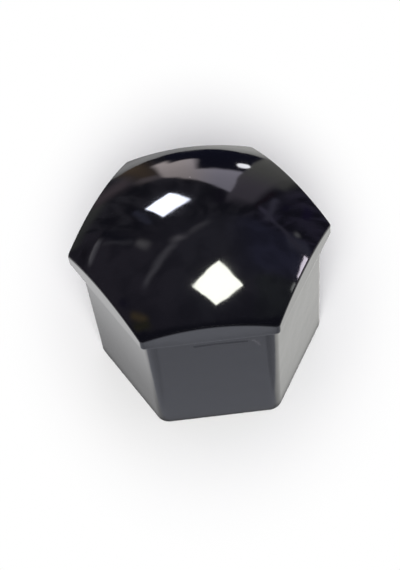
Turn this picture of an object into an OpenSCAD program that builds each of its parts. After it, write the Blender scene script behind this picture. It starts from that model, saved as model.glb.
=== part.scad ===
// Push-on cover cap for a hexagonal wheel nut, moulded in one piece.
// The origin is the middle of the open mouth, on the surface that the cap stands on.
// The head's corners point along +X and every 60 degrees from there.

/* [Head] */
// Height of the whole cap, from the rim to the top of the dome
cap_height = 22.2; // [21.5:0.1:24]
// Width of the head across its flats
head_flats = 24; // [23.2:0.1:26]
// Radius of the dome
dome_r = 22.6; // [20:0.1:28]
// Radius of the head's upright corners
head_corner_r = 0.4; // [0.2:0.1:1]
// Rounding where the dome meets the flats
dome_edge_r = 0.2; // [0.1:0.05:0.4]

/* [Skirt] */
// Height of the head's underside above the rim
skirt_height = 16.1; // [14:0.1:16.5]
// Width of the skirt across its flats, at the rim
rim_flats = 22; // [21.6:0.1:22.4]
// Lean of the skirt's flats, outward from the rim up
skirt_draft = 0.7; // [0:0.1:1]
// Radius of the skirt's upright corners, at the rim
skirt_corner_r = 1.6; // [1:0.1:2.5]
// Radius of the fillet under the head
neck_r = 0.5; // [0.3:0.1:0.6]
// Bevel on the rim's outer edge
rim_bevel = 0.2; // [0.1:0.05:0.3]

/* [Socket] */
// Width across flats of the wheel nut that the cap covers
nut_flats = 19; // [18:0.1:19.4]
// Play between the nut and each wall, at the mouth
nut_play = 0.15; // [0.1:0.05:0.25]
// Lean of the socket's flats, inward from the mouth up
socket_draft = 0.25; // [0.1:0.05:0.5]
// Radius of the socket's upright corners, at the mouth
socket_corner_r = 0.7; // [0.5:0.1:1]
// Thickness of the crown, between the socket and the dome
crown_wall = 1.8; // [1.5:0.1:3]
// Bevel around the mouth, which leads the nut in
mouth_bevel = 0.4; // [0.2:0.05:0.5]

/* [Grip ribs] */
// Radius of the rounded ribs inside the flats
rib_r = 0.5; // [0.4:0.05:0.7]
// How far each rib stands out of its flat, at the mouth
rib_reach = 0.25; // [0.15:0.05:0.35]
// Height of the ribs' lower ends above the rim
rib_start = 2.5; // [1:0.5:5]
// Length of a rib
rib_length = 11; // [6:0.5:12]
// Length of the taper at a rib's lower end
rib_taper = 1; // [0.5:0.1:2]

/* [Hidden] */
$fn = 96;
sides = 6;
step = 360 / sides;
dome_centre_z = cap_height - dome_r;
socket_flats = nut_flats + 2 * nut_play;
neck_flats = flats_at(skirt_height, rim_flats, skirt_draft);
// The fillet under the head can't be wider than the overhang that it fills
neck = min(neck_r, (head_flats - neck_flats) / 2);
// How far a cutter starts outside the solid, and how far one block runs into the next
overlap = 0.3;
// A corner stands this far proud of the flats that it joins, since a bare touch leaves slivers
proud = 0.001;
// A rounding crosses the faces that it joins by this much, since it can't end on a bare touch
bite = 0.01;

// Width across flats at a height above the place where it is flats
function flats_at(height, flats, lean) = flats + 2 * height * tan(lean);

// Distance from the axis to the centre of a rounded corner, which is also the straight part of a side
function corner_centre(flats, corner_r) = (flats / 2 - corner_r) / cos(step / 2);

// Hexagonal block with rounded corners, whose flats lean outward from the bottom up:
// a slab between each pair of opposite flats, and a cone in each corner
module hex_block(flats, corner_r, height, lean = 0) {
    centre = corner_centre(flats, corner_r);
    grown = height * tan(lean);
    for (i = [0 : sides / 2 - 1])
        rotate([90, 0, step * (i + 0.5)])
            linear_extrude(height = centre, center = true)
                polygon([
                    [-flats / 2, 0], [flats / 2, 0],
                    [flats / 2 + grown, height], [-flats / 2 - grown, height]
                ]);
    for (i = [0 : sides - 1])
        rotate([0, 0, step * i])
            translate([centre, 0, 0])
                cylinder(h = height, r1 = corner_r + proud, r2 = corner_r + grown + proud);
}

// The ring that rounds one arch of the head. Its tube turns about the line that runs
// from the ball's centre square through the flat
module arch_cutter() {
    inset = dome_edge_r - bite;
    along = head_flats / 2 - inset;
    around = sqrt(pow(dome_r - inset, 2) - pow(along, 2));
    reach = 2 * dome_edge_r;
    to_ball = [around, along] / (dome_r - inset);
    rotate_extrude()
        translate([around, along])
            difference() {
                polygon([[0, 0], [0, reach], [reach, reach], to_ball * reach]);
                circle(r = dome_edge_r);
            }
}

// The head is an upright hexagon under a ball, so that each flat ends in an arch
module head() {
    difference() {
        intersection() {
            translate([0, 0, skirt_height])
                hex_block(head_flats, head_corner_r, cap_height);
            translate([0, 0, dome_centre_z])
                sphere(r = dome_r);
        }
        for (i = [0 : sides - 1])
            translate([0, 0, dome_centre_z])
                rotate([0, 90, step * (i + 0.5)])
                    arch_cutter();
    }
}

// Half of the skirt's section, whose wall stands this far from the section's own axis at the rim:
// the bevelled rim, the leaning wall and a shoulder that runs into the head over a hollow fillet
module skirt_section(wall) {
    lean = tan(skirt_draft);
    shoulder_z = skirt_height - neck;
    shoulder_wall = wall + shoulder_z * lean;
    shoulder = shoulder_wall + neck - bite;
    difference() {
        polygon([
            [0, 0], [wall - rim_bevel, 0], [wall + rim_bevel * lean, rim_bevel],
            [shoulder_wall, shoulder_z], [shoulder, shoulder_z],
            [shoulder, skirt_height + overlap], [0, skirt_height + overlap]
        ]);
        translate([shoulder, shoulder_z + bite])
            circle(r = neck);
    }
}

// The skirt carries its section along the flats and turns it round the corners
module skirt() {
    centre = corner_centre(rim_flats, skirt_corner_r);
    for (i = [0 : sides - 1]) {
        rotate([90, 0, step * (i + 0.5)])
            linear_extrude(height = centre, center = true)
                skirt_section(rim_flats / 2);
        rotate([0, 0, step * i])
            translate([centre, 0, 0])
                rotate_extrude()
                    skirt_section(skirt_corner_r + proud);
    }
}

// The blind hexagon that slides over the nut, under a crown of even thickness
module socket() {
    lead = mouth_bevel + overlap;
    translate([0, 0, -overlap])
        hex_block(socket_flats + 2 * lead, socket_corner_r + lead, lead + overlap, -45);
    intersection() {
        translate([0, 0, -overlap])
            hex_block(socket_flats, socket_corner_r, cap_height, -socket_draft);
        translate([0, 0, dome_centre_z])
            sphere(r = dome_r - crown_wall);
    }
}

// A rounded rib stands out of the middle of each inner flat and grips the nut
module grip_ribs() {
    for (i = [0 : sides - 1])
        rotate([0, 0, step * (i + 0.5)])
            translate([socket_flats / 2 + rib_r - rib_reach, 0, rib_start]) {
                cylinder(h = rib_taper, r1 = rib_r - rib_reach, r2 = rib_r);
                translate([0, 0, rib_taper])
                    cylinder(h = rib_length - rib_taper, r = rib_r);
            }
}

module cap() {
    color([0.03, 0.03, 0.035]) {
        difference() {
            union() {
                head();
                skirt();
            }
            socket();
        }
        grip_ribs();
    }
}

cap();
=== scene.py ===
from math import pi, radians

import bpy
import numpy as np
from mathutils import Matrix, Vector


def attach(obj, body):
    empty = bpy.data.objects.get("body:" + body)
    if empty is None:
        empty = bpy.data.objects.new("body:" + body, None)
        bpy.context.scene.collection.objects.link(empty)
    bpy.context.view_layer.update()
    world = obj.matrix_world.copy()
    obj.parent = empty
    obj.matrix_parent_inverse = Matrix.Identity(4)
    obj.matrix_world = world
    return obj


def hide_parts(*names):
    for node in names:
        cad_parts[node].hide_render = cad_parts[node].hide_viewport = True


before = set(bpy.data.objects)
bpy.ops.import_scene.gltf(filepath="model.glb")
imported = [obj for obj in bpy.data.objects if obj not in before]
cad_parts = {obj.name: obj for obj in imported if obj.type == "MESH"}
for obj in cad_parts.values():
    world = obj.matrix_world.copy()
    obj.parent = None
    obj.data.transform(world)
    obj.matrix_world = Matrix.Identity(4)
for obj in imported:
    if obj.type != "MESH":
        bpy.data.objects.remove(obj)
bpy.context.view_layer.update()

scene = bpy.context.scene
scene.view_settings.view_transform = "Standard"

# Camera. The photograph looks down on the front of the cap from close by, a little to the
# right of straight on and rolled by a few degrees. The cap stands on a table.
LOOK_AT = Vector((-0.000449, -0.004156, 0.015294))
CAMERA_DISTANCE = 0.14319
CAMERA_AZIMUTH, CAMERA_ELEVATION, CAMERA_ROLL = radians(0.8836), radians(53.8046), radians(-7.4836)
LENS_MM = 87.27
CLIP_NEAR, CLIP_FAR = 0.005, 20.0

camera = bpy.data.objects.new("camera", bpy.data.cameras.new("camera"))
scene.collection.objects.link(camera)
camera.data.lens = LENS_MM
camera.data.clip_start, camera.data.clip_end = CLIP_NEAR, CLIP_FAR
facing = Matrix.Rotation(CAMERA_AZIMUTH, 4, "Z") @ Matrix.Rotation(pi / 2 - CAMERA_ELEVATION, 4, "X")
camera.matrix_world = (Matrix.Translation(LOOK_AT + facing @ Vector((0, 0, CAMERA_DISTANCE)))
                       @ facing @ Matrix.Rotation(CAMERA_ROLL, 4, "Z"))
scene.camera = camera


# Table. It is a smooth white top that ends a hand's width behind the cap, so that only the
# outermost strip of the dome mirrors it. Away from the cap it washes out to plain white. In
# the gloss it is a painted glow, not lit by the lamps: brightest at the right and behind, with
# painted shade at the cap's foot, at its left and in front.
class Wire:
    """A node's output. Arithmetic on wires and numbers adds the Math nodes that work it out."""

    def __init__(self, nodes, socket):
        self.nodes, self.socket = nodes, socket

    def math(self, operation, *values):
        """One Math node, with these values or wires in order."""
        return self.nodes.add("ShaderNodeMath", {"operation": operation}, dict(enumerate(values)))

    def __add__(self, other):
        return self.math("ADD", self, other)

    def __sub__(self, other):
        return self.math("SUBTRACT", self, other)

    def __rsub__(self, other):
        return self.math("SUBTRACT", other, self)

    def __mul__(self, other):
        return self.math("MULTIPLY", self, other)

    def __truediv__(self, other):
        return self.math("DIVIDE", self, other)

    def __abs__(self):
        return self.math("ABSOLUTE", self)

    __radd__, __rmul__ = __add__, __mul__

    def at_least(self, other):
        """The larger of this and another."""
        return self.math("MAXIMUM", self, other)

    def at_most(self, other):
        """The smaller of this and another."""
        return self.math("MINIMUM", self, other)

    def ramp(self, low, high):
        """0 below low, 1 above high, and a smooth step between; high may be the lower of the two."""
        smooth = {"interpolation_type": "SMOOTHSTEP"}
        if low < high:
            return self.nodes.add("ShaderNodeMapRange", smooth, {0: self, 1: low, 2: high})
        return 1.0 - self.nodes.add("ShaderNodeMapRange", smooth, {0: self, 1: high, 2: low})

    def output(self, name):
        """Another output of the same node."""
        return Wire(self.nodes, self.socket.node.outputs[name])

    def parts(self):
        """The X, Y and Z of a vector."""
        split = self.nodes.add("ShaderNodeSeparateXYZ", {}, {0: self})
        return [split.output(axis) for axis in "XYZ"]


class Nodes:
    """The nodes of one material or world, which starts empty but for its output."""

    def __init__(self, owner, output_kind):
        owner.use_nodes = True
        self.tree = owner.node_tree
        self.tree.nodes.clear()
        self.output = self.tree.nodes.new(output_kind)

    def add(self, kind, settings, sockets, output=0):
        """Makes a node: its settings first, then the value or wire of each socket by name or number."""
        node = self.tree.nodes.new(kind)
        for name, value in settings.items():
            setattr(node, name, value)
        for name, value in sockets.items():
            if isinstance(value, Wire):
                self.tree.links.new(value.socket, node.inputs[name])
            else:
                node.inputs[name].default_value = value
        return Wire(self, node.outputs[output])

    def mix(self, amount, low, high):
        """One colour mixed into another."""
        return self.add("ShaderNodeMix", {"data_type": "RGBA"}, {0: amount, 6: low, 7: high}, 2)

    def surface(self, shader):
        """Joins the finished shader to the output."""
        self.tree.links.new(shader.socket, self.output.inputs["Surface"])


TABLE_RADIUS = 0.140
TABLE_SINKS = 0.00002
TABLE_GREY = (0.82, 0.82, 0.82, 1.0)
PLAIN_WHITE = (1.0, 1.0, 1.0, 1.0)
WASH_MIDDLE = 0.008
WASH_WIDTH, WASH_LENGTH = 0.014, 0.021
WASH_START, WASH_END = 0.95, 1.75
FOOT_HALF = 0.011
# How bright the table's painted glow is in the gloss for each part, and by how much it gains or
# loses further out; its dim parts are painted shade
GLOSS_LEFT_PAINTED_SHADE, GLOSS_LEFT_GAIN = 0.54, 0.84
GLOSS_RIGHT, GLOSS_RIGHT_GAIN = 1.12, 0.20
GLOSS_FRONT, FRONT_LEFT_PAINTED_SHADE, FRONT_RIGHT_PAINTED_SHADE, FRONT_FAR_GAIN = 0.82, 0.15, 0.24, 0.28
GLOSS_BACK_GAIN = 1.25
FAR_LOSS, PAINTED_CONTACT_SHADOW = 0.5, 0.40
# From where to where each of them fades in, in metres
LEFT_REACH, RIGHT_REACH, PAINTED_CONTACT_SHADOW_REACH = (0.0, 0.006), (0.0, 0.003), (0.0, 0.0005)
MIDDLE_REACH, BACK_REACH, BACK_SIDES, FAR_REACH = (-0.012, 0.012), (0.05, 0.10), (0.07, 0.02), (0.03, 0.09)
FRONT_LEFT, FRONT_RIGHT, FRONT_FAR = (-0.0060, -0.0080), (0.0065, 0.0085), (-0.0226, -0.0240)
FRONT_REACH, FRONT_SETBACK = (-0.0104, -0.0118), 0.0012
TINT_LEFT, TINT_RIGHT, TINT_FRONT = (1.0, 1.0, 1.01, 1.0), (1.0, 1.0, 0.975, 1.0), (0.95, 0.98, 1.10, 1.0)


def joined_rows(count, around, middle):
    """The faces of closed rows of points that spread from a middle point: quads from each row to the
    next, and triangles from the middle to the first row."""
    here, onward = np.arange(around), np.roll(np.arange(around), -1)
    step = (np.arange(count - 1) * around)[:, None]
    quads = np.stack([here + step, here + step + around, onward + step + around, onward + step], -1)
    fan = np.stack([np.full(around, middle), here, onward], -1)
    return quads.reshape(-1, 4).tolist() + fan.tolist()


def disc(radius, height, rings=8, around=96):
    """A flat disc: rings of points, each a whole circle, that grow evenly from the middle."""
    share, turn = np.linspace(1 / rings, 1, rings), np.arange(around) * 2 * pi / around
    x, y = np.outer(share, np.cos(turn)) * radius, np.outer(share, np.sin(turn)) * radius
    points = np.stack([x, y, np.full_like(x, height)], -1).reshape(-1, 3)
    mesh = bpy.data.meshes.new("table_top")
    mesh.from_pydata(np.vstack([points, [[0, 0, height]]]).tolist(), [],
                     joined_rows(rings, around, len(points)))
    return mesh


table = bpy.data.objects.new("table_top", disc(TABLE_RADIUS, -TABLE_SINKS))
scene.collection.objects.link(table)
table_white = bpy.data.materials.new("table_white")
nodes = Nodes(table_white, "ShaderNodeOutputMaterial")
east, north, _ = nodes.add("ShaderNodeTexCoord", {}, {}, "Object").parts()
camera_ray = nodes.add("ShaderNodeLightPath", {}, {}, "Is Camera Ray")
glossy_ray = camera_ray.output("Is Glossy Ray")
wide, long = east / WASH_WIDTH, (north - WASH_MIDDLE) / WASH_LENGTH
spread = wide * wide + long * long
washed = spread.math("SQRT", spread).ramp(WASH_START, WASH_END)
matt = nodes.add("ShaderNodeBsdfDiffuse", {}, {"Color": TABLE_GREY})
white = nodes.add("ShaderNodeEmission", {}, {"Color": PLAIN_WHITE, "Strength": 1.0})
seen = nodes.add("ShaderNodeMixShader", {}, {0: camera_ray * washed, 1: matt, 2: white})

# How far a point of the table is from the flats of the skirt's foot
slant, half = np.sin(pi / 3), np.cos(pi / 3)
left_of = east * -slant - north * half
right_of = east * slant - north * half
from_foot = abs(north).at_least(abs(right_of)).at_least(abs(left_of)) - FOOT_HALF

# Painted shadow in the gloss: dim next to the cap's left side and brightening further out, and bright at
# the right
left = GLOSS_LEFT_PAINTED_SHADE + GLOSS_LEFT_GAIN * (left_of - FOOT_HALF).ramp(*LEFT_REACH)
right = GLOSS_RIGHT + GLOSS_RIGHT_GAIN * (right_of - FOOT_HALF).ramp(*RIGHT_REACH)
rightward = east.ramp(*MIDDLE_REACH)
midway = abs(east).ramp(*BACK_SIDES)
sides = left + (right - left) * rightward + GLOSS_BACK_GAIN * north.ramp(*BACK_REACH) * midway
# Painted shade in the gloss in front of the cap, darker still at the front left and the front right
front = (GLOSS_FRONT - FRONT_LEFT_PAINTED_SHADE * east.ramp(*FRONT_LEFT)
         - FRONT_RIGHT_PAINTED_SHADE * east.ramp(*FRONT_RIGHT) + FRONT_FAR_GAIN * north.ramp(*FRONT_FAR))
before = (north + FRONT_SETBACK * east.ramp(*FRONT_RIGHT)).ramp(*FRONT_REACH)
strength = (sides + (front - sides) * before) * (1.0 - FAR_LOSS * from_foot.ramp(*FAR_REACH))
# Painted contact shadow: the table's glow drops close to the cap's foot
strength = strength * ((1.0 - PAINTED_CONTACT_SHADOW) + PAINTED_CONTACT_SHADOW * from_foot.ramp(*PAINTED_CONTACT_SHADOW_REACH))
tint = nodes.mix(before, nodes.mix(rightward, TINT_LEFT, TINT_RIGHT), TINT_FRONT)
painted_shine = nodes.add("ShaderNodeVectorMath", {"operation": "SCALE"}, {0: tint, "Scale": strength})
# The table glows in the gloss though it is no lamp: a painted reflection for the cap's sides, bluer in
# front
painted_glow = nodes.add("ShaderNodeEmission", {}, {"Color": painted_shine, "Strength": 1.0})
top = nodes.add("ShaderNodeMixShader", {}, {0: glossy_ray, 1: seen, 2: painted_glow})

# The table's underside is clear, so that the cap's socket can be seen from below
beneath = nodes.add("ShaderNodeNewGeometry", {}, {}, "Backfacing")
clear = nodes.add("ShaderNodeBsdfTransparent", {}, {"Color": PLAIN_WHITE})
nodes.surface(nodes.add("ShaderNodeMixShader", {}, {0: beneath, 1: top, 2: clear}))
table.data.materials.append(table_white)


# Lamps. A wide soft lamp overhead and one near the camera light the table and show in no
# reflection. What the dome mirrors are two square ceiling panels, a small round lamp low
# behind, and a slim tube at the right with a dim end.
def toward(azimuth, elevation, distance=1.0):
    """The point that far from the cap, in a direction given in degrees; azimuth 0 is the front."""
    a, e = radians(azimuth), radians(elevation)
    return Vector((np.sin(a) * np.cos(e), -np.cos(a) * np.cos(e), np.sin(e))) * distance


def lamp(name, shape, place, size, radiance, across=(1, 0, 0), behind=None, mirrored=True):
    """An area lamp whose power is radiance times pi times area. Its width runs along across and its
    back faces along behind, or away from the cap. It shows in reflections, or lights the table."""
    data = bpy.data.lights.new(name, "AREA")
    data.shape = shape
    data.size, data.size_y = size
    area = size[0] * size[1] * (pi / 4 if shape == "ELLIPSE" else 1.0)
    brightest = max(radiance)
    data.color = [channel / brightest for channel in radiance]
    data.energy = brightest * pi * area
    made = bpy.data.objects.new(name, data)
    scene.collection.objects.link(made)
    z = Vector(behind or place).normalized()
    x = (Vector(across) - z * z.dot(Vector(across))).normalized()
    made.matrix_world = Matrix.Translation(place) @ Matrix((x, z.cross(x), z)).transposed().to_4x4()
    made.visible_glossy, made.visible_diffuse = mirrored, not mirrored


lamp("soft_overhead", "ELLIPSE", (0, 0, 0.8), (1.6, 1.6), (0.46, 0.46, 0.45), mirrored=False)
lamp("soft_front", "ELLIPSE", toward(-3, 47, 0.7), (0.44, 0.44), (11.9, 11.9, 11.8), mirrored=False)
lamp("panel_overhead", "RECTANGLE", (0.1747, -0.1783, 1.4791), (0.502, 0.531), (23.0, 23.4, 21.0),
     (0.667, -0.731, 0.145), (0.148, 0.321, 0.935))
lamp("panel_behind", "RECTANGLE", (-0.4966, 1.7912, 1.5182), (0.576, 0.660), (19.5, 20.5, 24.0),
     (0.829, 0.551, -0.099), (-0.002, 0.181, 0.984))
lamp("round_lamp", "ELLIPSE", toward(163.8, 9.0, 1.5), (0.112, 0.145), (7.7, 7.7, 8.1))
lamp("tube", "RECTANGLE", toward(98.9, 34.5, 1.5), (0.37, 0.190), (12.0, 11.0, 12.5),
     toward(90.6, 37.5) - toward(107.2, 30.5))
lamp("tube_end", "RECTANGLE", toward(84.3, 40.2, 1.5), (0.15, 0.160), (2.3, 2.4, 2.3),
     toward(81.2, 41.1) - toward(88.0, 39.3))

# Room. It is what the dome mirrors: a dim mottled ceiling with a few pale edges, dark in front
# and bluer at the right. Behind are a lit strip of wall over a dark window, a brown cupboard
# at its left and a grey pillar at its right. The camera sees plain white past the table.
CEILING_MAUVE, CEILING_GREY = (0.165, 0.145, 0.185, 1.0), (0.180, 0.175, 0.220, 1.0)
CEILING_BLUE, CEILING_GREEN = (0.165, 0.168, 0.320, 1.0), (0.150, 0.170, 0.165, 1.0)
WALL_DIM, WALL_PURPLE = (0.150, 0.143, 0.170, 1.0), (0.150, 0.130, 0.230, 1.0)
ROOM_BLACK, WINDOW_NAVY = (0.0, 0.0, 0.0, 1.0), (0.016, 0.018, 0.042, 1.0)
STRIP_MAUVE, STRIP_BLUE = (2.25, 1.98, 1.98, 1.0), (1.75, 1.66, 2.00, 1.0)
PILLAR_LOW, PILLAR_HIGH = (0.46, 0.46, 0.43, 1.0), (0.44, 0.39, 0.48, 1.0)
STRIP_TOP, STRIP_SLOPE, STRIP_SOFT = 0.466, 0.846, 0.025
MOTTLE_SCALE, MOTTLE_LOSS, FRONT_DIM = 4.5, 0.45, 0.35
STREAKS_ACROSS, STREAKS_UP, STREAK_LOSS = 7.0, 2.2, 0.80
CEILING_FADE, WALL_FADE = 0.08, 0.06
NEAR_ZERO = 0.02

room = bpy.data.worlds.new("room")
scene.world = room
nodes = Nodes(room, "ShaderNodeOutputWorld")
toward_room = nodes.add("ShaderNodeTexCoord", {}, {}, "Generated")
east, north, height = toward_room.parts()
mottle = nodes.add("ShaderNodeTexNoise", {}, {"Vector": toward_room, "Scale": MOTTLE_SCALE, "Detail": 3.0})


def stroke(a, b, start, end, half_width, fade):
    """A straight soft-edged line from start to end on a flat surface whose two coordinates are a
    and b: 1 on the line, falling to 0 at half_width from it, and over fade at its ends."""
    run, climb = end[0] - start[0], end[1] - start[1]
    length = float(np.hypot(run, climb))
    run, climb = run / length, climb / length
    along = (a - start[0]) * run + (b - start[1]) * climb
    off = (a - start[0]) * climb - (b - start[1]) * run
    ends = along.ramp(-fade, fade) * along.ramp(length + fade, length - fade)
    return abs(off).ramp(half_width, 0.0) * ends


# On the ceiling, a place is how far right and how far back it is, for a ceiling one unit up.
# On the back wall, it is how far across and how high it is, for a wall one unit back. Every
# ramp below runs between two such places.
up = height.at_least(NEAR_ZERO)
right, back = east / up, north / up
overhead = height.ramp(0.05, 0.20)
away = north.at_least(NEAR_ZERO)
across, rise = east / away, height / away
behind = north.ramp(0.10, 0.25)
upright = nodes.add("ShaderNodeCombineXYZ", {}, {0: across * STREAKS_ACROSS, 1: rise * STREAKS_UP})
streaks = nodes.add("ShaderNodeTexNoise", {}, {"Vector": upright, "Scale": 1.0, "Detail": 2.0})

colour = nodes.mix(right.ramp(-0.6, 0.1), CEILING_MAUVE, CEILING_GREY)
colour = nodes.mix(right.ramp(0.20, 0.60) * back.ramp(-0.10, 0.15), colour, CEILING_BLUE)
colour = nodes.mix(right.ramp(0.45, 0.60) * back.ramp(0.05, -0.05), colour, CEILING_GREEN)
mottled = (1.0 - MOTTLE_LOSS) + MOTTLE_LOSS * mottle.ramp(0.38, 0.62)
lit = mottled * ((1.0 - FRONT_DIM) + FRONT_DIM * back.ramp(-0.50, -0.10))
colour = nodes.mix(lit, ROOM_BLACK, colour)
wall = nodes.mix(across.ramp(0.5, 0.9), WALL_DIM, WALL_PURPLE)
wall = nodes.mix((1.0 - STREAK_LOSS) + STREAK_LOSS * streaks.ramp(0.38, 0.66), ROOM_BLACK, wall)
colour = nodes.mix((right + back).ramp(0.0, 0.15) * back.ramp(0.55, 0.85), colour, wall)

# Pale and dark edges on the ceiling: start, end, half width and colour
for start, end, half_width, shade in (
    ((-0.70, 0.62), (-1.60, 1.62), 0.16, (0.03, 0.03, 0.04, 1.0)),
    ((-2.20, 1.50), (-2.80, 2.10), 0.30, (0.05, 0.04, 0.05, 1.0)),
    ((0.26, 1.00), (0.34, 1.55), 0.13, (0.03, 0.02, 0.035, 1.0)),
    ((-1.45, 1.18), (-0.72, 0.66), 0.06, (0.26, 0.25, 0.29, 1.0)),
    ((-1.60, 1.43), (-1.92, 1.06), 0.25, (0.60, 0.58, 0.66, 1.0)),
    ((-1.70, 1.50), (-1.97, 1.18), 0.13, (0.95, 0.92, 1.00, 1.0)),
    ((-0.66, 0.63), (-0.52, 0.48), 0.08, (0.85, 0.82, 0.86, 1.0)),
    ((-0.62, 0.03), (-0.22, 0.40), 0.075, (0.62, 0.60, 0.68, 1.0)),
    ((-0.24, 0.45), (-0.14, 0.45), 0.065, (1.10, 1.05, 1.15, 1.0)),
    ((-0.10, 0.48), (0.10, 0.62), 0.065, (0.48, 0.46, 0.52, 1.0)),
    ((1.05, 0.60), (1.65, 0.66), 0.24, (0.28, 0.28, 0.42, 1.0)),
    ((0.76, 1.12), (0.93, 0.82), 0.10, (0.36, 0.33, 0.52, 1.0)),
    ((0.93, 0.82), (1.35, 0.52), 0.10, (0.28, 0.26, 0.38, 1.0)),
    ((1.30, 0.80), (1.44, 0.90), 0.08, (0.95, 0.95, 1.00, 1.0)),
    ((-0.92, -0.24), (-0.70, -0.36), 0.11, (0.50, 0.36, 0.13, 1.0)),
    ((-0.95, -0.42), (-0.68, -0.42), 0.11, (0.16, 0.15, 0.02, 1.0)),
    ((-1.05, -0.02), (-0.92, -0.10), 0.10, (0.03, 0.02, 0.06, 1.0)),
):
    line = stroke(right, back, start, end, half_width, CEILING_FADE)
    colour = nodes.mix(line * overhead, colour, shade)
colour = nodes.mix(back.ramp(-0.47, -0.54) * overhead, colour, ROOM_BLACK)

# Cupboard, frames and edges on the back wall, in the same way
for start, end, half_width, shade in (
    ((-1.20, 0.24), (-0.60, 0.12), 0.17, (0.23, 0.24, 0.22, 1.0)),
    ((-0.62, 0.02), (-0.34, 0.12), 0.20, (0.30, 0.24, 0.27, 1.0)),
    ((-0.27, -0.20), (-0.25, 0.27), 0.12, (0.25, 0.18, 0.12, 1.0)),
    ((-0.32, 0.20), (-0.18, 0.31), 0.07, (0.50, 0.43, 0.46, 1.0)),
    ((0.72, 0.55), (0.98, 1.25), 0.08, (0.33, 0.31, 0.46, 1.0)),
    ((0.64, 0.45), (0.67, 0.98), 0.06, (0.05, 0.02, 0.03, 1.0)),
    ((0.60, 0.00), (0.62, 0.34), 0.09, (0.34, 0.34, 0.32, 1.0)),
    ((0.88, 0.55), (0.92, 0.75), 0.08, (0.03, 0.02, 0.08, 1.0)),
    ((1.00, 0.34), (1.20, 0.62), 0.10, (0.05, 0.03, 0.13, 1.0)),
    ((-0.57, 0.70), (-0.60, 1.20), 0.08, (0.20, 0.21, 0.32, 1.0)),
):
    line = stroke(across, rise, start, end, half_width, WALL_FADE)
    colour = nodes.mix(line * behind, colour, shade)

# The pillar, the lit strip under its sloping top edge, and the window in the strip
pillar = across.ramp(0.28, 0.33) * across.ramp(0.64, 0.54) * rise.ramp(1.05, 0.75)
colour = nodes.mix(pillar * behind, colour, nodes.mix(rise.ramp(0.1, 0.6), PILLAR_LOW, PILLAR_HIGH))
under_top = (rise - across * STRIP_SLOPE - STRIP_TOP).ramp(STRIP_SOFT, -STRIP_SOFT)
strip = under_top * across.ramp(-0.21, -0.16) * across.ramp(0.325, 0.305) * rise.ramp(-0.02, 0.05)
strip_shade = nodes.mix(across.ramp(-0.1, 0.2), STRIP_MAUVE, STRIP_BLUE)
colour = nodes.mix(strip * behind, colour, strip_shade)
low = rise.ramp(0.30, 0.25) * across.ramp(0.00, 0.05) + rise.ramp(0.09, 0.05) * across.ramp(-0.13, -0.09)
window = low.at_most(1.0) * across.ramp(0.33, 0.31)
colour = nodes.mix(window * behind, colour, WINDOW_NAVY)
seen = nodes.add("ShaderNodeBackground", {}, {"Color": colour, "Strength": 1.0})
white = nodes.add("ShaderNodeBackground", {}, {"Color": PLAIN_WHITE, "Strength": 1.0})
camera_ray = nodes.add("ShaderNodeLightPath", {}, {}, "Is Camera Ray")
nodes.surface(nodes.add("ShaderNodeMixShader", {}, {0: camera_ray, 1: seen, 2: white}))


# Cap. It is moulded in one piece of gloss black plastic: a domed hexagonal head that overhangs
# a hollow hexagonal skirt, with six slim ribs inside that grip the nut. The dome has the
# mould's highest polish, the skirt a little less, and the socket is left plain.
MM = 0.001
SIDES = 6
COS_HALF = np.cos(pi / SIDES)
HEAD_HALF, HEAD_CORNER = 12.0, 0.55
DOME_RADIUS, DOME_CENTRE = 22.6, -0.4
ARCH_ROUND = 0.35
LIP_HEIGHT, LIP_ROUND = 16.1, 0.26
SKIRT_HALF, SKIRT_CORNER = 11.0, 1.6
SKIRT_LEAN = np.tan(radians(0.7))
NECK_ROUND = 0.5
RIM_ROUND = 0.2
SOCKET_HALF, SOCKET_CORNER, SOCKET_TOP = 9.65, 0.7, 17.5
SOCKET_LEAN = np.tan(radians(0.25))
MOUTH_BEVEL = 0.4
CEILING_RADIUS, CEILING_ROUND = 20.8, 0.3
RIB_RADIUS, RIB_REACH = 0.5, 0.25
RIB_START, RIB_END, RIB_TAPER = 2.5, 13.5, 1.0
# Rows stand this close to a sharp edge, and a place in a corner counts as this far from any rib
ROW_GAP, FAR_FROM_RIB = 0.03, 9.0


def ring_centre(half, corner):
    """How far the middle of a rounded corner is from the axis, for a hexagon of that half width."""
    return (half - corner) / COS_HALF


def around_hexagon():
    """The places round a hexagon: for each, where it lies on the hexagon that joins the middles of
    the corners, which way is out, and how far along its flat it is, from -1 to 1, or 2 in a corner.
    A corner turns through a sixth of a circle about one place, and a flat runs between two."""
    turn = np.radians(np.linspace(-30, 30, 11))
    half_flat = ring_centre(SOCKET_HALF, SOCKET_CORNER) / 2
    rib = RIB_RADIUS * np.sin(np.radians([12, 24, 36, 48, 60, 64])) / half_flat
    half = np.concatenate([rib, [0.12], np.arange(0.2, 0.95, 0.1), [0.96, 0.99]])
    flat = np.concatenate([-half[::-1], [0.0], half])
    ring, out, along = [], [], []
    for side in range(SIDES):
        here, there = side * pi / 3, (side + 1) * pi / 3
        corner = np.array([np.cos(here), np.sin(here)])
        following = np.array([np.cos(there), np.sin(there)])
        ring += [np.tile(corner, (len(turn), 1)), corner + np.outer((flat + 1) / 2, following - corner)]
        out += [np.stack([np.cos(here + turn), np.sin(here + turn)], -1),
                np.tile([np.cos(here + pi / 6), np.sin(here + pi / 6)], (len(flat), 1))]
        along += [np.full(len(turn), 2.0), flat]
    return np.concatenate(ring), np.concatenate(out), np.concatenate(along)


RING, OUT, ALONG = around_hexagon()


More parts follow.
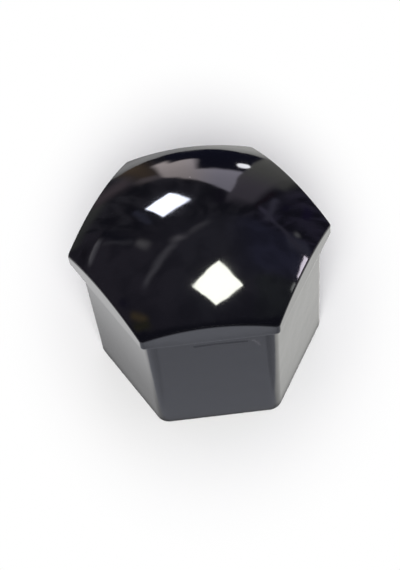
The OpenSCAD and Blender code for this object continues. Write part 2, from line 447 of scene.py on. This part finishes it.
def level(centre, corner, height):
    """Rows at given heights: the ring of corner middles at that distance, moved out by the corner
    radius."""
    centre, corner, height = np.broadcast_arrays(*np.atleast_1d(centre, corner, height))
    plan = centre[:, None, None] * RING + corner[:, None, None] * OUT
    return np.concatenate([plan, np.broadcast_to(height[:, None, None], plan.shape[:2] + (1,))], -1)


def between(first, last, shares):
    """Rows on the straight lines from one row to another, at these shares of the way."""
    return first + (last - first) * np.asarray(shares)[:, None, None]


def sweep(first, last, shares):
    """Unit directions turned evenly from one row of directions to another."""
    angle = np.arccos(np.clip((first * last).sum(-1, keepdims=True), -1, 1))
    shares = np.asarray(shares)[:, None, None]
    return (np.sin((1 - shares) * angle) * first + np.sin(shares * angle) * last) / np.sin(angle)


def dome_rounding(centre, corner, radius, rounding):
    """A ball of the rounding's size that rolls where a wall meets a sphere: its middle runs at that
    distance inside both. Gives its path and the directions to its touch on the sphere and the wall."""
    plan = centre * RING + (corner - rounding) * OUT
    lift = np.sqrt((radius - rounding) ** 2 - (plan ** 2).sum(-1, keepdims=True))
    to_sphere = np.concatenate([plan, lift], -1) / (radius - rounding)
    to_wall = np.concatenate([OUT, np.zeros((len(OUT), 1))], -1)
    return np.concatenate([plan, DOME_CENTRE + lift], -1), to_sphere, to_wall


def cap_sphere(direction, radius, shares):
    """Rows on a sphere: the direction to its edge, tilted toward the top by a share of its own tilt."""
    tilt = np.arccos(direction[:, 2:])
    heading = direction[:, :2] / np.linalg.norm(direction[:, :2], axis=1, keepdims=True)
    tilts = np.asarray(shares)[:, None, None] * tilt
    rows = np.concatenate([np.sin(tilts) * heading, np.cos(tilts)], -1) * radius
    rows[..., 2] += DOME_CENTRE
    return rows


def rib_relief(heights, socket):
    """How far the ribs stand out of the socket's flats at each height: the round of a rib whose middle
    is a little behind the flat, less the flat's own place. A rib grows from nothing over its taper."""
    x = np.where(np.abs(ALONG) <= 1, ALONG * socket / 2, FAR_FROM_RIB)
    grown = np.clip((heights - RIB_START) / RIB_TAPER, 0, 1) * (heights > RIB_START) * (heights < RIB_END)
    radius = (RIB_RADIUS - RIB_REACH) + RIB_REACH * grown[:, None]
    face = SOCKET_HALF + RIB_RADIUS - RIB_REACH - np.sqrt(np.maximum(radius ** 2 - x ** 2, 0))
    flat = SOCKET_HALF - heights[:, None] * SOCKET_LEAN
    stands = np.where(np.abs(x) < radius, np.maximum(flat - face, 0), 0)
    return stands * (grown[:, None] > 0)


def cap_rows():
    """All rows of the cap's skin, from the top of the dome down the outside, round the rim and up the
    socket to the middle of its ceiling. For each it also gives 1 in the socket and 0 outside, and 1 on
    the rounding where the dome meets the flats and 0 elsewhere."""
    quarter = np.radians(np.linspace(0, 90, 7))
    steps = np.linspace(0, 1, 9)

    head = ring_centre(HEAD_HALF, HEAD_CORNER)
    path, to_dome, to_wall = dome_rounding(head, HEAD_CORNER, DOME_RADIUS, ARCH_ROUND)
    shares = np.concatenate([np.linspace(1 / 30, 29 / 30, 29), [0.99, 0.997]])
    dome = cap_sphere(to_dome, DOME_RADIUS, shares)
    arch = path + ARCH_ROUND * sweep(to_dome, to_wall, steps)
    lip = level(head, HEAD_CORNER - LIP_ROUND * (1 - np.cos(quarter)),
                LIP_HEIGHT + LIP_ROUND * (1 - np.sin(quarter)))
    flank = between(arch[-1], lip[0], [0.02, 0.35, 0.7, 0.98])

    skirt = ring_centre(SKIRT_HALF, SKIRT_CORNER)
    neck_height = LIP_HEIGHT - NECK_ROUND
    neck_corner = SKIRT_CORNER + neck_height * SKIRT_LEAN
    turn = quarter[::-1]
    neck = level(skirt, neck_corner + NECK_ROUND * (1 - np.cos(turn)),
                 neck_height + NECK_ROUND * np.sin(turn))
    under = between(lip[-1], neck[0], [0.06, 0.5, 0.94])
    rim = level(skirt, SKIRT_CORNER - RIM_ROUND * (1 - np.cos(quarter)),
                RIM_ROUND * (1 - np.sin(quarter)))
    wall = between(neck[-1], rim[0], [0.004, 0.3, 0.7, 0.996])

    socket = ring_centre(SOCKET_HALF, SOCKET_CORNER)
    mouth = level(socket, SOCKET_CORNER + MOUTH_BEVEL, 0.0)[0]
    throat = level(socket, SOCKET_CORNER, MOUTH_BEVEL)[0]
    foot = between(rim[-1], mouth, [0.05, 0.5, 0.95])
    lead = between(mouth, throat, [0.0, 0.06, 0.5, 0.94, 1.0])
    heights = np.concatenate([[MOUTH_BEVEL + ROW_GAP, 1.5], RIB_START + RIB_TAPER * np.linspace(0, 1, 6),
                              [5.5, 8.0, 11.0, RIB_END - ROW_GAP, RIB_END + ROW_GAP, 15.0, 16.3]])
    bore = level(socket, SOCKET_CORNER - heights * SOCKET_LEAN, heights)
    bore[..., :2] -= OUT * rib_relief(heights, socket)[..., None]
    top_corner = SOCKET_CORNER - SOCKET_TOP * SOCKET_LEAN
    path, to_ceiling, to_bore = dome_rounding(socket, top_corner, CEILING_RADIUS, CEILING_ROUND)
    cove = path + CEILING_ROUND * sweep(to_bore, to_ceiling, steps)
    upper = between(bore[-1], cove[0], [0.5, 0.96])
    ceiling = cap_sphere(to_ceiling, CEILING_RADIUS, [0.997, 0.985, 0.9, 0.75, 0.6, 0.45, 0.3, 0.15])

    outside = [dome, arch, flank, lip, under, neck, wall, rim, foot]
    inside = [lead, bore, upper, cove, ceiling]
    depth = [np.zeros(len(rows)) for rows in outside] + [np.ones(len(rows)) for rows in inside]
    edge = np.zeros(sum(map(len, outside + inside)))
    edge[len(dome) + 1:len(dome) + len(arch) - 1] = 1.0
    return np.concatenate(outside + inside), np.concatenate(depth), edge


def skin(rows, top, ceiling):
    """The mesh of a stack of closed rows, each joined to the next, with a point at either end."""
    count, around = rows.shape[:2]
    last_row = np.arange(around) + (count - 1) * around
    end_fan = np.stack([last_row, np.full(around, count * around + 1), np.roll(last_row, -1)], -1)
    points = np.vstack([rows.reshape(-1, 3), top, ceiling]) * MM
    mesh = bpy.data.meshes.new("cap_skin")
    mesh.from_pydata(points.tolist(), [], joined_rows(count, around, count * around) + end_fan.tolist())
    mesh.polygons.foreach_set("use_smooth", np.ones(len(mesh.polygons), bool))
    return mesh


rows, depth, edge = cap_rows()
cap = bpy.data.objects.new("cap_skin", skin(rows, [[0, 0, DOME_CENTRE + DOME_RADIUS]],
                                            [[0, 0, DOME_CENTRE + CEILING_RADIUS]]))
scene.collection.objects.link(cap)
for name, by_row, at_ends in (("inside", depth, [0.0, 1.0]), ("edge", edge, [0.0, 0.0])):
    attribute = cap.data.attributes.new(name, "FLOAT", "POINT")
    attribute.data.foreach_set("value", np.concatenate([np.repeat(by_row, len(RING)), at_ends]))

PLASTIC_BLACK = (0.0035, 0.0035, 0.0055, 1.0)
PLASTIC_DUST = (0.10, 0.10, 0.10, 1.0)
# Colour of the lighter V-shaped mark under the lip near the right corner
PLASTIC_V_MARK = (0.028, 0.026, 0.030, 1.0)
PLASTIC_IOR = 1.55
# How rough the dome is, and how much rougher everything else
DOME_ROUGH, SMUDGE_ROUGH, EDGE_ROUGH, SKIRT_ROUGH, SOCKET_ROUGH = 0.055, 0.03, 0.20, 0.07, 0.20
RUB_ROUGH, V_MARK_ROUGH = 0.48, 0.15
SMUDGE_SCALE, PEEL_SCALE, GRAIN_SCALE, DUST_SCALE = 260.0, 420.0, 9000.0, 330.0
PEEL_HEIGHT, GRAIN_HEIGHT = 0.000018, 0.0000006
# How far a speck of dust reaches in its cell, and which cells have one
DUST_SIZE, DUST_CHANCE = (0.040, 0.020), (0.80, 0.84)
SKIRT_BELOW, FRONT_FLAT = (0.0166, 0.0158), (-0.0100, -0.0108)
# Marks on the front flat just under the lip: a rough line, and a lighter, rougher V near the
# right corner, as lines from place to place in millimetres across and up
RUB_LINE = ((-1.86, 14.47), (0.39, 14.54), (3.74, 14.38))
V_MARK_LINE = ((4.15, 14.49), (4.54, 14.22), (4.92, 13.39))
RUB_HALF_WIDTH, V_MARK_HALF_WIDTH, MARK_FADE = 0.40, 0.28, 0.12

gloss_black = bpy.data.materials.new("gloss_black_plastic")
nodes = Nodes(gloss_black, "ShaderNodeOutputMaterial")
place = nodes.add("ShaderNodeTexCoord", {}, {}, "Object")
east, north, height = place.parts()
hidden = nodes.add("ShaderNodeAttribute", {"attribute_name": "inside"}, {}, "Fac")
worn = nodes.add("ShaderNodeAttribute", {"attribute_name": "edge"}, {}, "Fac")
smudge = nodes.add("ShaderNodeTexNoise", {}, {"Vector": place, "Scale": SMUDGE_SCALE, "Detail": 4.0})
peel = nodes.add("ShaderNodeTexNoise", {}, {"Vector": place, "Scale": PEEL_SCALE, "Detail": 1.0})
grain = nodes.add("ShaderNodeTexNoise", {}, {"Vector": place, "Scale": GRAIN_SCALE, "Detail": 2.0})
speck = nodes.add("ShaderNodeTexVoronoi", {}, {"Vector": place, "Scale": DUST_SCALE}, "Distance")
dust = speck.ramp(*DUST_SIZE) * speck.output("Color").parts()[0].ramp(*DUST_CHANCE)
skirt_side = height.ramp(*SKIRT_BELOW)


def marks(line, half_width):
    """A mask of soft lines from each place to the next, on the front flat only."""
    total = 0.0
    for start, end in zip(line[:-1], line[1:]):
        total = stroke(east / MM, height / MM, start, end, half_width, MARK_FADE) + total
    return total.at_most(1.0) * north.ramp(*FRONT_FLAT)


rub, v_mark = marks(RUB_LINE, RUB_HALF_WIDTH), marks(V_MARK_LINE, V_MARK_HALF_WIDTH)
rough = (DOME_ROUGH + smudge.ramp(0.35, 0.75) * SMUDGE_ROUGH + worn * EDGE_ROUGH
         + skirt_side * SKIRT_ROUGH + hidden * SOCKET_ROUGH + rub * RUB_ROUGH + v_mark * V_MARK_ROUGH)
waves = nodes.add("ShaderNodeBump", {}, {"Height": peel, "Strength": 1.0, "Distance": PEEL_HEIGHT})
fine = nodes.add("ShaderNodeBump", {}, {
    "Height": grain * (skirt_side + hidden),
    "Strength": 1.0,
    "Distance": GRAIN_HEIGHT,
    "Normal": waves,
})
dusty = nodes.mix(dust * (1.0 - hidden), PLASTIC_BLACK, PLASTIC_DUST)
nodes.surface(nodes.add("ShaderNodeBsdfPrincipled", {}, {
    "Base Color": nodes.mix(v_mark, dusty, PLASTIC_V_MARK),
    "Roughness": rough,
    "IOR": PLASTIC_IOR,
    "Normal": fine,
}))
cap.data.materials.append(gloss_black)
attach(cap, "root")
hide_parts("cap")
